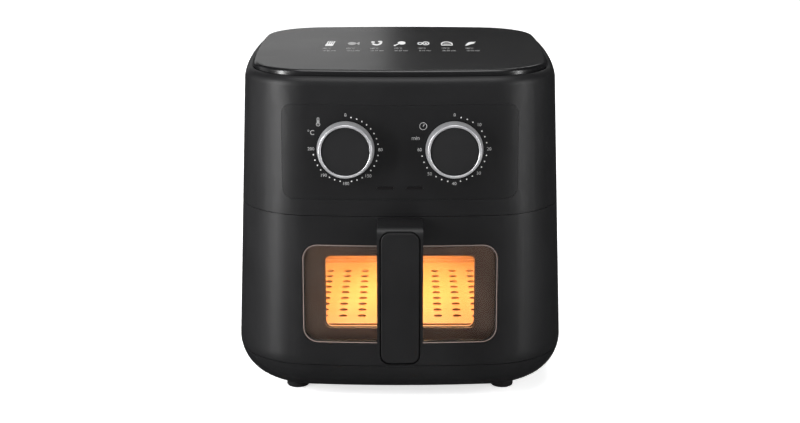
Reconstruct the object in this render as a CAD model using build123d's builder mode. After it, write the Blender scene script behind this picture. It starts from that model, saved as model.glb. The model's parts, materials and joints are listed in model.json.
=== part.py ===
from build123d import *
import os
from math import cos, radians, sin, sqrt, tan

# Basket air fryer with a windowed drawer, two dials and a lift-out crisper plate.
# Millimetres. +Z is up and the front faces -Y. The origin is on the ground under the
# middle of the whole appliance, drawer handle included.

os.makedirs("parts", exist_ok=True)

# ---------------------------------------------------------------- driving dimensions
# Body form: a bowed rectangle with round corners, drafted inwards as it rises
body_w = 309.6
body_d = 304.0
base_z = 8.0
rim_z = 301.0
draft = 2.3
corner_r = 76.0
front_bulge = 14.0
side_bulge = 9.8
base_round = 38.0
rim_round = 9.0
wall = 3.0

# Joints between the casings
seam = 0.45
fine_seam = 0.15
low_seam_z = 38.4
drawer_low = 38.45
drawer_high = 177.0
drawer_wrap = 76.0

# How far the handle and the rear spacers reach from the middle of the body
handle_reach = 192.0
rear_reach = 158.0
body_y = (handle_reach - rear_reach) / 2

# Top panel
top_inset = 19.2
top_low = 299.0
top_high = 306.0
ledge_t = 3.0
ledge_w = 250.0
ledge_d = 244.0

# Control panel, dials and lenses
panel_w = 209.0
panel_h = 84.5
panel_r = 10.0
panel_z = 234.5
dial_x = 47.8
dial_z = 237.3
dial_r = 25.4
dial_taper = 9.8
dial_reach = 12.5
shaft_reach = 9.0
ring_inner_r = 21.4
shaft_r = 3.0
running_gap = 0.05
lens_x = 13.0
lens_z = 203.0
lens_w = 15.0
lens_h = 3.0

# Window
window_w = 176.0
window_h = 92.0
window_r = 14.0
window_z = 105.3
view_w = 136.0
view_h = 68.3
view_r = 6.0
view_z = 103.6
# Behind the glass the opening reaches lower, because one looks down through it
inner_view_low = 63.7
inner_view_h = view_z + view_h / 2 - inner_view_low
inner_view_z = inner_view_low + inner_view_h / 2

# Handle
handle_w = 40.0
handle_low = 52.2
handle_high = 179.0
grip_t = 14.0
arm_low = 157.0
arm_root_high = 175.0
grip_corner_r = 11.0
handle_screw_x = 10.0
handle_screw_z = 166.0

# Pot and crisper plate
pot_w = 216.0
pot_front = -109.5
pot_d = 214.0
pot_low = 46.0
pot_high = 165.0
pot_wall = 1.6
pot_r = 28.0
pot_screw_spots = [(-66, 152), (66, 152), (-66, 57), (66, 57)]
flange_w = 226.0
flange_d = 219.0
plate_w = 208.0
plate_d = 206.0
plate_z = 60.0
plate_t = 1.5

# Cooking chamber
chamber_w = 232.0
chamber_front = -106.0
chamber_back = 113.0
chamber_low = 40.5
chamber_high = 222.0
chamber_r = 30.0
sheet = 1.5
shield_z = 228.0

# Heater, fans and motor, on the body's middle axis
heater_z = 190.0
heater_r = 80.0
heater_inner_r = 66.0
heater_tube_r = 3.3
guard_z = 180.2
fan_r = 58.0
motor_low = 236.0
motor_high = 266.0

# Lamp over the pot, interlock beside the drawer, bell of the timer
lamp_x = 82.0
lamp_y = 72.0
interlock_x = -122.0
interlock_z = 128.0
bell_x = 88.0
bell_z = 252.0
capillary_x = -84.0
capillary_y = -78.0
capillary_z = 248.0

# Feet, screws, rear cover and mains inlet
foot_x = 96.0
foot_y = 95.0
foot_r = 10.5
post_x = 112.0
post_y = 112.0
post_r = 7.0
front_post_y = -108.0
rear_cover_z = 157.0
rear_screw_spots = [(-90, 66), (90, 66), (-90, 248), (90, 248)]
grille_z = 224.0
gland_x = 72.0
gland_z = 78.0
cord_r = 3.6

# Larger than the whole body: cutters and slabs that are trimmed afterwards
wide = 400.0
through = 70.0


# ---------------------------------------------------------------- helpers
def level(z):
    """A horizontal plane at height z, centred on the body."""
    return Plane(origin=(0, body_y, z))


def facing(y):
    """An upright plane facing forwards, y behind the body's middle."""
    return Plane(origin=(0, body_y + y, 0), x_dir=(1, 0, 0), z_dir=(0, -1, 0))


def facing_back(y):
    """An upright plane facing backwards, with its own x along -X."""
    return Plane(origin=(0, body_y + y, 0), x_dir=(-1, 0, 0), z_dir=(0, 1, 0))


def outline(inset):
    """The body's plan moved inwards by inset: four shallow arcs with round corners."""
    front_arc = (body_w**2 / 4 + front_bulge**2) / (2 * front_bulge)
    side_arc = (body_d**2 / 4 + side_bulge**2) / (2 * side_bulge)
    with BuildSketch() as plan:
        with Locations((0, front_arc - body_d / 2)):
            Circle(front_arc - inset)
        with Locations((0, body_d / 2 - front_arc)):
            Circle(front_arc - inset, mode=Mode.INTERSECT)
        with Locations((side_arc - body_w / 2, 0)):
            Circle(side_arc - inset, mode=Mode.INTERSECT)
        with Locations((body_w / 2 - side_arc, 0)):
            Circle(side_arc - inset, mode=Mode.INTERSECT)
        fillet(plan.vertices(), corner_r - inset)
    return plan.sketch


def form(inset):
    """The body's outer form moved inwards by inset."""
    plan = outline(inset)
    with BuildPart() as solid:
        with BuildSketch(level(base_z + inset)):
            add(plan)
        extrude(amount=rim_z - base_z - 2 * inset, taper=draft)
        fillet(solid.faces().sort_by(Axis.Z)[0].edges(), base_round - inset)
        if rim_round - inset > 0.5:
            fillet(solid.faces().sort_by(Axis.Z)[-1].edges(), rim_round - inset)
    return solid.part


def front_patch(width, height, radius, middle_z, outside, inside):
    """A rounded rectangle of the body's front, between two of its forms."""
    with BuildPart() as patch:
        with BuildSketch(facing(-100)):
            with Locations((0, middle_z)):
                RectangleRounded(width, height, radius)
        extrude(amount=through)
        add(outside, mode=Mode.INTERSECT)
        add(inside, mode=Mode.SUBTRACT)
    return patch.part


def front_y(x, z):
    """Where the body's front lies at x and z, measured from the body's middle."""
    lean = (z - base_z) * tan(radians(draft))
    arc = (body_w**2 / 4 + front_bulge**2) / (2 * front_bulge)
    return arc - body_d / 2 - sqrt((arc - lean) ** 2 - x**2)


def dial_plane(x):
    """The plane of a dial, touching the control panel and leaning with it."""
    origin = (x, body_y + front_y(x, dial_z), dial_z)
    return Plane(origin=origin, x_dir=(1, 0, 0), z_dir=(0, -cos(radians(draft)), sin(radians(draft))))


def chamber_plan(inset):
    """The cooking chamber's plan: square in front, rounded behind."""
    depth = chamber_back - chamber_front
    middle = (chamber_back + chamber_front) / 2
    with BuildSketch() as plan:
        with Locations((0, middle)):
            RectangleRounded(chamber_w - 2 * inset, depth - 2 * inset, chamber_r - inset)
        with Locations((0, chamber_front + inset + depth / 4)):
            Rectangle(chamber_w - 2 * inset, depth / 2)
    return plan.sketch


def write(piece, name):
    """Label one finished piece and write it as a STEP file."""
    piece.part.label = name
    export_step(piece.part, f"parts/{name}.step")


outer_form = form(0)
inner_form = form(wall)
seal_form = form(wall + 1.2)
lip_form = form(wall + 3.0)

# ---------------------------------------------------------------- casings
panel_lip = front_patch(panel_w + 8, panel_h + 8, panel_r + 4, panel_z, inner_form, lip_form)

with BuildPart() as main_housing:
    add(outer_form)
    add(inner_form, mode=Mode.SUBTRACT)
    add(panel_lip)
    with BuildSketch(level(top_low - ledge_t)):
        Rectangle(body_w, body_d)
        RectangleRounded(ledge_w, ledge_d, 60, mode=Mode.SUBTRACT)
    extrude(amount=ledge_t)
    # screw posts in the corners: full height behind, short above the drawer in front
    for spot_y, post_low in ((post_y, low_seam_z), (front_post_y, shield_z + 4)):
        with BuildSketch(level(post_low)):
            with Locations((post_x, spot_y), (-post_x, spot_y)):
                Circle(post_r)
        extrude(amount=top_low - ledge_t - post_low)
        for side in (-1, 1):
            with BuildSketch(level(post_low)):
                with Locations((side * (post_x + 8), spot_y * 1.08)):
                    Rectangle(26, 3, rotation=45 * side * (1 if spot_y > 0 else -1))
            extrude(amount=top_low - ledge_t - post_low)
    add(outer_form, mode=Mode.INTERSECT)
    top_hole = outline(top_inset - 1.2)
    with BuildSketch(level(top_low)):
        add(top_hole)
    extrude(amount=20, mode=Mode.SUBTRACT)
    # everything below the lower seam, and the drawer's place in front
    with BuildSketch(level(0)):
        Rectangle(wide, wide)
    extrude(amount=low_seam_z, mode=Mode.SUBTRACT)
    with BuildSketch(level(0)):
        with Locations((0, -drawer_wrap + seam - wide / 2)):
            Rectangle(wide, wide)
    extrude(amount=drawer_high + seam, mode=Mode.SUBTRACT)
    # control panel opening, with the lip left behind it
    with BuildSketch(facing(-100)):
        with Locations((0, panel_z)):
            RectangleRounded(panel_w - 8, panel_h - 8, panel_r - 4)
    extrude(amount=through, mode=Mode.SUBTRACT)
    cut = front_patch(
        panel_w + 2 * fine_seam, panel_h + 2 * fine_seam, panel_r + fine_seam, panel_z, form(-1), inner_form
    )
    add(cut, mode=Mode.SUBTRACT)
    # rear opening under the rear cover
    with BuildSketch(facing_back(100)):
        with Locations((0, rear_cover_z)):
            RectangleRounded(170, 190, 12)
    extrude(amount=through, mode=Mode.SUBTRACT)
    with BuildSketch(facing_back(100)):
        with Locations(*rear_screw_spots):
            Circle(1.6)
    extrude(amount=through, mode=Mode.SUBTRACT)
    with BuildSketch(level(low_seam_z)):
        with Locations((post_x, post_y), (-post_x, post_y)):
            Circle(1.7)
    extrude(amount=20, mode=Mode.SUBTRACT)
write(main_housing, "main_housing")

with BuildPart() as base_housing:
    add(outer_form)
    add(inner_form, mode=Mode.SUBTRACT)
    # bosses for the feet and for the two long screws at the back
    with BuildSketch(level(base_z + wall - 0.5)):
        with GridLocations(2 * foot_x, 2 * foot_y, 2, 2):
            Circle(6)
    extrude(amount=12)
    with BuildSketch(level(base_z)):
        with Locations((post_x, post_y), (-post_x, post_y)):
            Circle(6)
    extrude(amount=low_seam_z - 0.4 - base_z)
    add(outer_form, mode=Mode.INTERSECT)
    with BuildSketch(level(low_seam_z - 0.4)):
        Rectangle(wide, wide)
    extrude(amount=300, mode=Mode.SUBTRACT)
    with BuildSketch(level(base_z - 1)):
        with GridLocations(2 * foot_x, 2 * foot_y, 2, 2):
            Circle(1.8)
        with Locations((post_x, post_y), (-post_x, post_y)):
            Circle(1.7)
    extrude(amount=40, mode=Mode.SUBTRACT)
    with BuildSketch(level(base_z - 1)):
        with Locations((post_x, post_y), (-post_x, post_y)):
            Circle(3.9)
    extrude(amount=6, mode=Mode.SUBTRACT)
    # cooling air inlets
    with BuildSketch(level(base_z - 1)):
        with GridLocations(0, 12, 1, 9):
            SlotOverall(90, 5)
    extrude(amount=10, mode=Mode.SUBTRACT)
write(base_housing, "base_housing")

cover_form = form(-4)
with BuildPart() as rear_cover:
    with BuildSketch(facing_back(100)):
        with Locations((0, rear_cover_z)):
            RectangleRounded(194, 204, 16)
    extrude(amount=through)
    add(cover_form, mode=Mode.INTERSECT)
    # two upright ribs that keep the appliance off a wall
    with BuildSketch(facing_back(140)):
        with Locations((-52, 130), (52, 130)):
            SlotOverall(120, 8, rotation=90)
    extrude(amount=rear_reach - 140)
    add(outer_form, mode=Mode.SUBTRACT)
    with BuildSketch(facing_back(100)):
        with Locations((0, grille_z)):
            RectangleRounded(130, 44, 6)
        with Locations((-gland_x, gland_z)):
            Circle(8.3)
        with Locations(*rear_screw_spots):
            Circle(1.7)
    extrude(amount=through, mode=Mode.SUBTRACT)
write(rear_cover, "rear_cover")

with BuildPart() as exhaust_grille:
    with BuildSketch(facing_back(136)):
        with Locations((0, grille_z)):
            RectangleRounded(129, 43, 5.5)
            RectangleRounded(121, 35, 3, mode=Mode.SUBTRACT)
    extrude(amount=10)
    for row in range(5):
        with BuildSketch(Plane(origin=(0, body_y + 141, 211 + 6.5 * row), z_dir=(1, 0, 0), x_dir=(0, 1, 0))):
            Rectangle(9, 1.4, rotation=-30)
        extrude(amount=61, both=True)
write(exhaust_grille, "exhaust_grille")

top_plan = outline(top_inset)
with BuildPart() as top_panel:
    with BuildSketch(level(top_low)):
        add(top_plan)
    extrude(amount=top_high - top_low)
    fillet(top_panel.faces().sort_by(Axis.Z)[-1].edges(), 3.6)
    fillet(top_panel.faces().sort_by(Axis.Z)[0].edges(), 1.0)
write(top_panel, "top_panel")

panel_solid = front_patch(panel_w, panel_h, panel_r, panel_z, outer_form, inner_form)
with BuildPart() as control_panel:
    add(panel_solid)
    for x in (-dial_x, dial_x):
        with BuildSketch(dial_plane(x).offset(-20)):
            Circle(shaft_r + 1)
        extrude(amount=30, mode=Mode.SUBTRACT)
    with BuildSketch(facing(-100)):
        with Locations((-lens_x, lens_z), (lens_x, lens_z)):
            SlotOverall(lens_w, lens_h)
    extrude(amount=through, mode=Mode.SUBTRACT)
write(control_panel, "control_panel")

lens_skin = form(0.15)
lens_back = form(2.6)
with BuildPart() as indicator_lenses:
    with BuildSketch(facing(-100)):
        with Locations((-lens_x, lens_z), (lens_x, lens_z)):
            SlotOverall(lens_w - 0.2, lens_h - 0.2)
    extrude(amount=through)
    add(lens_skin, mode=Mode.INTERSECT)
    add(lens_back, mode=Mode.SUBTRACT)
write(indicator_lenses, "indicator_lenses")

with BuildPart() as indicator_lamps:
    with BuildSketch(facing(-112)):
        with Locations((-lens_x, lens_z), (lens_x, lens_z)):
            Circle(2.5)
    extrude(amount=24)
    with BuildSketch(facing(-112)):
        with Locations((0, lens_z)):
            Rectangle(40, 12)
    extrude(amount=2)
write(indicator_lamps, "indicator_lamps")

# ---------------------------------------------------------------- dials and what they turn
for side, name in ((-1, "temperature"), (1, "timer")):
    plane = dial_plane(side * dial_x)
    with BuildPart() as knob:
        with BuildSketch(plane.offset(2)):
            Circle(ring_inner_r - 0.1)
        extrude(amount=dial_reach - 3.2)
        with BuildSketch(plane):
            Circle(shaft_r + 0.02)
        extrude(amount=shaft_reach, mode=Mode.SUBTRACT)
    write(knob, f"{name}_knob")

    with BuildPart() as knob_ring:
        with BuildSketch(plane.offset(1.6)):
            Circle(dial_r)
        extrude(amount=dial_reach - 1.6, taper=dial_taper)
        with BuildSketch(plane):
            Circle(ring_inner_r)
        extrude(amount=dial_reach + 1, mode=Mode.SUBTRACT)
        fillet(knob_ring.faces().sort_by(Axis.Y)[0].edges(), 0.7)
    write(knob_ring, f"{name}_knob_ring")

    with BuildPart() as knob_shaft:
        with BuildSketch(plane.offset(-24)):
            Circle(shaft_r)
        extrude(amount=24 + shaft_reach)
    write(knob_shaft, f"{name}_shaft")

with BuildPart() as thermostat:
    with BuildSketch(dial_plane(-dial_x).offset(-9)):
        RectangleRounded(38, 34, 3)
    extrude(amount=-20)
    with BuildSketch(dial_plane(-dial_x).offset(-9)):
        Circle(8)
    extrude(amount=5)
    with BuildSketch(dial_plane(-dial_x)):
        Circle(shaft_r + running_gap)
    extrude(amount=-25, mode=Mode.SUBTRACT)
write(thermostat, "thermostat")

with BuildPart() as timer:
    with BuildSketch(dial_plane(dial_x).offset(-9)):
        Circle(25)
    extrude(amount=-20)
    with BuildSketch(dial_plane(dial_x).offset(-9)):
        Circle(8)
    extrude(amount=5)
    with BuildSketch(dial_plane(dial_x)):
        Circle(shaft_r + running_gap)
    extrude(amount=-25, mode=Mode.SUBTRACT)
write(timer, "timer")

# The strike bell is a cup beside the timer, held by a stem
with BuildPart() as timer_bell:
    with BuildSketch(facing(-112)):
        with Locations((bell_x, bell_z)):
            Circle(13)
    extrude(amount=9)
    with BuildSketch(facing(-112)):
        with Locations((bell_x, bell_z)):
            Circle(11.5)
    extrude(amount=7.5, mode=Mode.SUBTRACT)
    with BuildSketch(facing(-112)):
        with Locations((bell_x, bell_z)):
            Circle(2.5)
    extrude(amount=16)
write(timer_bell, "timer_bell")

with BuildPart() as thermostat_capillary:
    with BuildLine() as route:
        FilletPolyline(
            (-60, body_y - 111.8, capillary_z),
            (-60, body_y - 96, capillary_z),
            (capillary_x, body_y + capillary_y, capillary_z),
            (capillary_x, body_y + capillary_y, 213),
            (capillary_x, body_y - 58, 213),
            radius=6,
        )
    with BuildSketch(Plane(origin=route.line @ 0, z_dir=route.line % 0)):
        Circle(1.0)
    sweep()
    with BuildSketch(Plane(origin=route.line @ 1, z_dir=(0, 1, 0))):
        Circle(3.0)
    extrude(amount=50)
write(thermostat_capillary, "thermostat_capillary")

# ---------------------------------------------------------------- cooking chamber
flange_form = form(wall + 0.6)
outer_plan = chamber_plan(0)
inner_plan = chamber_plan(sheet)
with BuildPart() as flange_sheet:
    with BuildSketch(facing(chamber_front + sheet)):
        with Locations((0, (chamber_low + chamber_high) / 2)):
            Rectangle(wide, chamber_high - chamber_low)
    extrude(amount=sheet)
    add(flange_form, mode=Mode.INTERSECT)

with BuildPart() as cooking_chamber:
    with BuildSketch(level(chamber_low)):
        add(outer_plan)
    extrude(amount=chamber_high - chamber_low)
    add(flange_sheet.part)
    with BuildSketch(level(chamber_low + sheet)):
        add(inner_plan)
    extrude(amount=chamber_high - chamber_low - 2 * sheet, mode=Mode.SUBTRACT)
    # the mouth that the drawer's pot slides through
    with BuildSketch(facing(0)):
        with Locations((0, (chamber_low + sheet + drawer_high + 1) / 2)):
            Rectangle(chamber_w - 2 * sheet, drawer_high + 1 - chamber_low - sheet)
    extrude(amount=150, mode=Mode.SUBTRACT)
    # holes in the ceiling: fan shaft, heater legs, capillary, lamp
    with BuildSketch(level(chamber_high - 5)):
        Circle(6)
        with Locations((0, heater_r), (0, heater_inner_r)):
            Circle(heater_tube_r + 0.6)
        with Locations((capillary_x, capillary_y)):
            Circle(3)
        with Locations((lamp_x, lamp_y)):
            Circle(11)
    extrude(amount=10, mode=Mode.SUBTRACT)
    # hole in the front flange for the interlock plunger
    with BuildSketch(facing(-90)):
        with Locations((interlock_x, interlock_z)):
            Circle(3.2)
    extrude(amount=30, mode=Mode.SUBTRACT)
write(cooking_chamber, "cooking_chamber")

with BuildPart() as heat_shield:
    with BuildSketch(level(shield_z)):
        add(outer_plan)
        Circle(9, mode=Mode.SUBTRACT)
        with Locations((0, heater_r), (0, heater_inner_r)):
            Circle(6, mode=Mode.SUBTRACT)
        with Locations((capillary_x, capillary_y)):
            Circle(3, mode=Mode.SUBTRACT)
        with Locations((lamp_x, lamp_y)):
            Circle(16, mode=Mode.SUBTRACT)
    extrude(amount=1.2)
    with BuildSketch(level(chamber_high)):
        with GridLocations(180, 180, 2, 2):
            Circle(4)
    extrude(amount=shield_z - chamber_high)
write(heat_shield, "heat_shield")

with BuildPart() as heating_element:
    with Locations((0, body_y, heater_z)):
        Torus(heater_r, heater_tube_r)
        Torus(heater_inner_r, heater_tube_r)
    with BuildSketch(level(heater_z)):
        with Locations((0, heater_r), (0, heater_inner_r)):
            Circle(heater_tube_r)
    extrude(amount=46)
write(heating_element, "heating_element")

with BuildPart() as element_clips:
    for turn in (30, 150, 270):
        outwards = (cos(radians(turn)), sin(radians(turn)), 0)
        plane = Plane(origin=(0, body_y, heater_z + heater_tube_r), x_dir=outwards)
        with BuildSketch(plane):
            with Locations(((heater_r + heater_inner_r) / 2, 0)):
                Rectangle(26, 10)
        extrude(amount=1.5)
        with BuildSketch(plane):
            with Locations(((heater_r + heater_inner_r) / 2, 0)):
                Rectangle(2, 10)
        extrude(amount=chamber_high - sheet - heater_z - heater_tube_r)
write(element_clips, "element_clips")

with BuildPart() as heater_guard:
    with Locations((0, body_y, guard_z)):
        for ring in (96, 74, 52, 30):
            Torus(ring, 1.2)
    with BuildSketch(level(guard_z - 1.0)):
        for turn in (45, 90, 135, 180):
            Rectangle(192, 2.4, rotation=turn)
    extrude(amount=2)
    with BuildSketch(level(guard_z)):
        with PolarLocations(96, 4, start_angle=45):
            Circle(1.8)
    extrude(amount=chamber_high - sheet - guard_z)
write(heater_guard, "heater_guard")

with BuildPart() as drawer_rails:
    for side in (-1, 1):
        with BuildSketch(level(159.5)):
            with Locations((side * 112, -12)):
                Rectangle(5, 184)
        extrude(amount=3.4)
write(drawer_rails, "drawer_rails")

with BuildPart() as catch_springs:
    for side in (-1, 1):
        with BuildSketch(level(146)):
            with BuildLine():
                Polyline(
                    (side * 114.5, -86), (side * 110.2, -66), (side * 114.5, -46), (side * 113.6, -46),
                    (side * 109.3, -66), (side * 113.6, -86), close=True,
                )
            make_face()
        extrude(amount=9)
write(catch_springs, "catch_springs")

with BuildPart() as interlock_switch:
    with BuildSketch(level(interlock_z - 10)):
        with Locations((interlock_x, -93.5)):
            Rectangle(11, 20)
    extrude(amount=20)
    with BuildSketch(facing(-92)):
        with Locations((interlock_x, interlock_z)):
            Circle(2.0 + running_gap)
    extrude(amount=15, mode=Mode.SUBTRACT)
write(interlock_switch, "interlock_switch")

with BuildPart() as interlock_plunger:
    with BuildSketch(facing(-96)):
        with Locations((interlock_x, interlock_z)):
            Circle(2.0)
    extrude(amount=12)
    fillet(interlock_plunger.faces().sort_by(Axis.Y)[0].edges(), 0.8)
write(interlock_plunger, "interlock_plunger")

with BuildPart() as thermal_fuse:
    with BuildSketch(Plane(origin=(30, body_y - 62, chamber_high + 3), z_dir=(1, 0, 0))):
        Circle(2.6)
    extrude(amount=22)
    with BuildSketch(level(chamber_high)):
        with Locations((41, -62)):
            Rectangle(6, 14)
    extrude(amount=1.5)
write(thermal_fuse, "thermal_fuse")

with BuildPart() as lamp_holder:
    with BuildSketch(level(chamber_high)):
        with Locations((lamp_x, lamp_y)):
            Circle(14.5)
            Circle(9.3, mode=Mode.SUBTRACT)
    extrude(amount=14)
    with BuildSketch(level(chamber_high + 14)):
        with Locations((lamp_x, lamp_y)):
            Circle(14.5)
    extrude(amount=4)
write(lamp_holder, "lamp_holder")

with BuildPart() as chamber_lamp:
    with BuildSketch(level(199)):
        with Locations((lamp_x, lamp_y)):
            Circle(9)
    extrude(amount=36)
    fillet(chamber_lamp.faces().sort_by(Axis.Z)[0].edges(), 8)
write(chamber_lamp, "chamber_lamp")

# ---------------------------------------------------------------- motor and fans
with BuildPart() as fan_motor:
    with BuildSketch(level(motor_low + 5)):
        RectangleRounded(74, 66, 6)
    extrude(amount=motor_high - motor_low - 10)
    with BuildSketch(level(motor_low)):
        Circle(24)
    extrude(amount=motor_high - motor_low)
    with BuildSketch(level(motor_low)):
        Circle(shaft_r + running_gap)
    extrude(amount=motor_high - motor_low, mode=Mode.SUBTRACT)
write(fan_motor, "fan_motor")

with BuildPart() as motor_bracket:
    with BuildSketch(level(motor_low - 2)):
        RectangleRounded(140, 34, 5)
        Circle(12, mode=Mode.SUBTRACT)
    extrude(amount=2)
    with BuildSketch(level(shield_z + 1.2)):
        with Locations((-64, 0), (64, 0)):
            Rectangle(10, 30)
    extrude(amount=motor_low - 2 - shield_z - 1.2)
    with BuildSketch(level(motor_low)):
        with Locations((-30, 0), (30, 0)):
            Circle(4)
    extrude(amount=5)
write(motor_bracket, "motor_bracket")

with BuildPart() as motor_shaft:
    with BuildSketch(level(195)):
        Circle(shaft_r)
    extrude(amount=93)
write(motor_shaft, "motor_shaft")

with BuildPart() as hot_fan:
    with BuildSketch(level(201)):
        Circle(10)
    extrude(amount=13)
    with BuildSketch(level(212.4)):
        Circle(fan_r)
    extrude(amount=1.2)
    with BuildSketch(level(201)):
        with PolarLocations(fan_r - 15, 12):
            Rectangle(28, 1.2, rotation=20)
    extrude(amount=11.4)
    with BuildSketch(level(201)):
        Circle(shaft_r + 0.02)
    extrude(amount=13, mode=Mode.SUBTRACT)
write(hot_fan, "hot_fan")

with BuildPart() as fan_nut:
    with BuildSketch(level(196)):
        RegularPolygon(5.5, 6)
        Circle(shaft_r + 0.02, mode=Mode.SUBTRACT)
    extrude(amount=5)
write(fan_nut, "fan_nut")

with BuildPart() as cooling_fan:
    with BuildSketch(level(272)):
        Circle(9)
    extrude(amount=14)
    with BuildSketch(level(284.8)):
        Circle(52)
    extrude(amount=1.2)
    with BuildSketch(level(273)):
        with PolarLocations(38, 14):
            Rectangle(24, 1.2, rotation=15)
    extrude(amount=11.8)
    with BuildSketch(level(272)):
        Circle(shaft_r + 0.02)
    extrude(amount=14, mode=Mode.SUBTRACT)
write(cooling_fan, "cooling_fan")

# ---------------------------------------------------------------- mains side
with BuildPart() as terminal_block:
    with BuildSketch(level(base_z + wall)):
        with Locations((0, 80)):
            Rectangle(44, 20)
    extrude(amount=14)
    with BuildSketch(level(base_z + wall + 6)):
        with Locations((0, 80)):
            with GridLocations(12, 10, 3, 2):
                Circle(2.6)
    extrude(amount=10, mode=Mode.SUBTRACT)
write(terminal_block, "terminal_block")

with BuildPart() as cord_gland:
    with BuildSketch(facing_back(138)):
        with Locations((-gland_x, gland_z)):
            Circle(8)
    extrude(amount=16)
    with BuildSketch(facing_back(151)):
        with Locations((-gland_x, gland_z)):
            Circle(11)
    extrude(amount=3)
    with BuildSketch(facing_back(138)):
        with Locations((-gland_x, gland_z)):
            Circle(cord_r)
    extrude(amount=20, mode=Mode.SUBTRACT)
write(cord_gland, "cord_gland")

with BuildPart() as cord_clamp:
    with BuildSketch(facing_back(128)):
        with Locations((-gland_x, gland_z)):
            Rectangle(34, 12)
            Circle(cord_r, mode=Mode.SUBTRACT)
    extrude(amount=5)
    with BuildSketch(facing_back(133)):
        with Locations((-gland_x - 13, gland_z), (-gland_x + 13, gland_z)):
            Circle(3)
    extrude(amount=20)
    add(outer_form, mode=Mode.INTERSECT)
write(cord_clamp, "cord_clamp")

# ---------------------------------------------------------------- feet and screws
for y, end in ((-foot_y, "front"), (foot_y, "rear")):
    for x, side in ((-foot_x, "left"), (foot_x, "right")):
        with BuildPart() as foot:
            with BuildSketch(level(0)):
                with Locations((x, y)):
                    Circle(foot_r)
            extrude(amount=base_z)
            fillet(foot.faces().sort_by(Axis.Z)[0].edges(), 1.5)
            with BuildSketch(level(0)):
                with Locations((x, y)):
                    Circle(4.2)
            extrude(amount=4, mode=Mode.SUBTRACT)
            with BuildSketch(level(0)):
                with Locations((x, y)):
                    Circle(1.8)
            extrude(amount=base_z, mode=Mode.SUBTRACT)
        write(foot, f"foot_{end}_{side}")

with BuildPart() as foot_screws:
    with BuildSketch(level(4)):
        with GridLocations(2 * foot_x, 2 * foot_y, 2, 2):
            Circle(1.75)
    extrude(amount=16)
    with BuildSketch(level(1.8)):
        with GridLocations(2 * foot_x, 2 * foot_y, 2, 2):
            Circle(3.6)
    extrude(amount=2.2)
write(foot_screws, "foot_screws")

with BuildPart() as base_screws:
    with BuildSketch(level(10.6)):
        with Locations((post_x, post_y), (-post_x, post_y)):
            Circle(3.6)
    extrude(amount=2.4)
    with BuildSketch(level(13)):
        with Locations((post_x, post_y), (-post_x, post_y)):
            Circle(1.65)
    extrude(amount=42)
write(base_screws, "base_screws")

with BuildPart() as rear_screws:
    for x, z in rear_screw_spots:
        surface = 4.2 - front_y(x, z)
        with BuildSketch(facing_back(surface - 14)):
            with Locations((-x, z)):
                Circle(1.55)
        extrude(amount=14)
        with BuildSketch(facing_back(surface)):
            with Locations((-x, z)):
                Circle(3.4)
        extrude(amount=1.8)
write(rear_screws, "rear_screws")

# ---------------------------------------------------------------- drawer
rim_form = form(24)
rim_t = 2.5
with BuildPart() as drawer_rims:
    add(inner_form)
    add(rim_form, mode=Mode.SUBTRACT)
    with BuildSketch(facing(pot_front)):
        with Locations((0, drawer_low + rim_t / 2), (0, drawer_high - rim_t / 2)):
            Rectangle(wide, rim_t)
    extrude(amount=100, mode=Mode.INTERSECT)

with BuildPart() as drawer_front:
    add(outer_form)
    add(inner_form, mode=Mode.SUBTRACT)
    with BuildSketch(level(drawer_low)):
        with Locations((0, -drawer_wrap - wide / 2)):
            Rectangle(wide, wide)
    extrude(amount=drawer_high - drawer_low, mode=Mode.INTERSECT)
    add(drawer_rims.part)
    with BuildSketch(facing(-120)):
        with Locations((0, window_z)):
            RectangleRounded(window_w, window_h, window_r)
    extrude(amount=60, mode=Mode.SUBTRACT)
    with BuildSketch(facing(-120)):
        with Locations((-handle_screw_x, handle_screw_z), (handle_screw_x, handle_screw_z)):
            Circle(2.2)
    extrude(amount=60, mode=Mode.SUBTRACT)
write(drawer_front, "drawer_front")

liner_form = form(wall + 0.5)
liner_t = 2.5
tunnel_front = -131.6
tunnel_gap = 8.5
with BuildPart() as drawer_liner:
    with BuildSketch(facing(pot_front)):
        with Locations((0, (drawer_low + drawer_high) / 2)):
            Rectangle(wide, drawer_high - drawer_low - 2 * rim_t - 0.6)
    extrude(amount=liner_t)
    add(liner_form, mode=Mode.INTERSECT)
    with BuildSketch(facing(pot_front)):
        with Locations((0, view_z)):
            RectangleRounded(view_w + 2 * tunnel_gap, view_h + 2 * tunnel_gap, 11)
    extrude(amount=pot_front - tunnel_front)
    with BuildSketch(facing(pot_front - liner_t)):
        with Locations((0, view_z)):
            RectangleRounded(view_w + 2 * tunnel_gap - 4, view_h + 2 * tunnel_gap - 4, 9)
    extrude(amount=40, mode=Mode.SUBTRACT)
    with BuildSketch(facing(-90)):
        with Locations((0, inner_view_z)):
            RectangleRounded(view_w, inner_view_h, view_r)
        with Locations(*pot_screw_spots):
            Circle(1.8)
    extrude(amount=60, mode=Mode.SUBTRACT)
write(drawer_liner, "drawer_liner")

frame_back = -132.0
with BuildPart() as window_frame:
    with BuildSketch(facing(frame_back)):
        with Locations((0, window_z)):
            RectangleRounded(window_w + 10, window_h + 10, window_r + 5)
    extrude(amount=40)
    add(seal_form, mode=Mode.INTERSECT)
    with BuildSketch(facing(frame_back - 2)):
        with Locations((0, window_z)):
            RectangleRounded(window_w + 1, window_h + 1, window_r + 0.5)
    extrude(amount=40, mode=Mode.SUBTRACT)
    with BuildSketch(facing(frame_back)):
        with Locations((0, view_z)):
            RectangleRounded(view_w, view_h, view_r)
    extrude(amount=10, mode=Mode.SUBTRACT)
write(window_frame, "window_frame")

glass_face = form(0.5)
glass_outer = front_patch(window_w - 0.6, window_h - 0.6, window_r - 0.3, window_z, glass_face, inner_form)
with BuildPart() as outer_glass:
    add(glass_outer)
write(outer_glass, "outer_glass")

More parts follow.
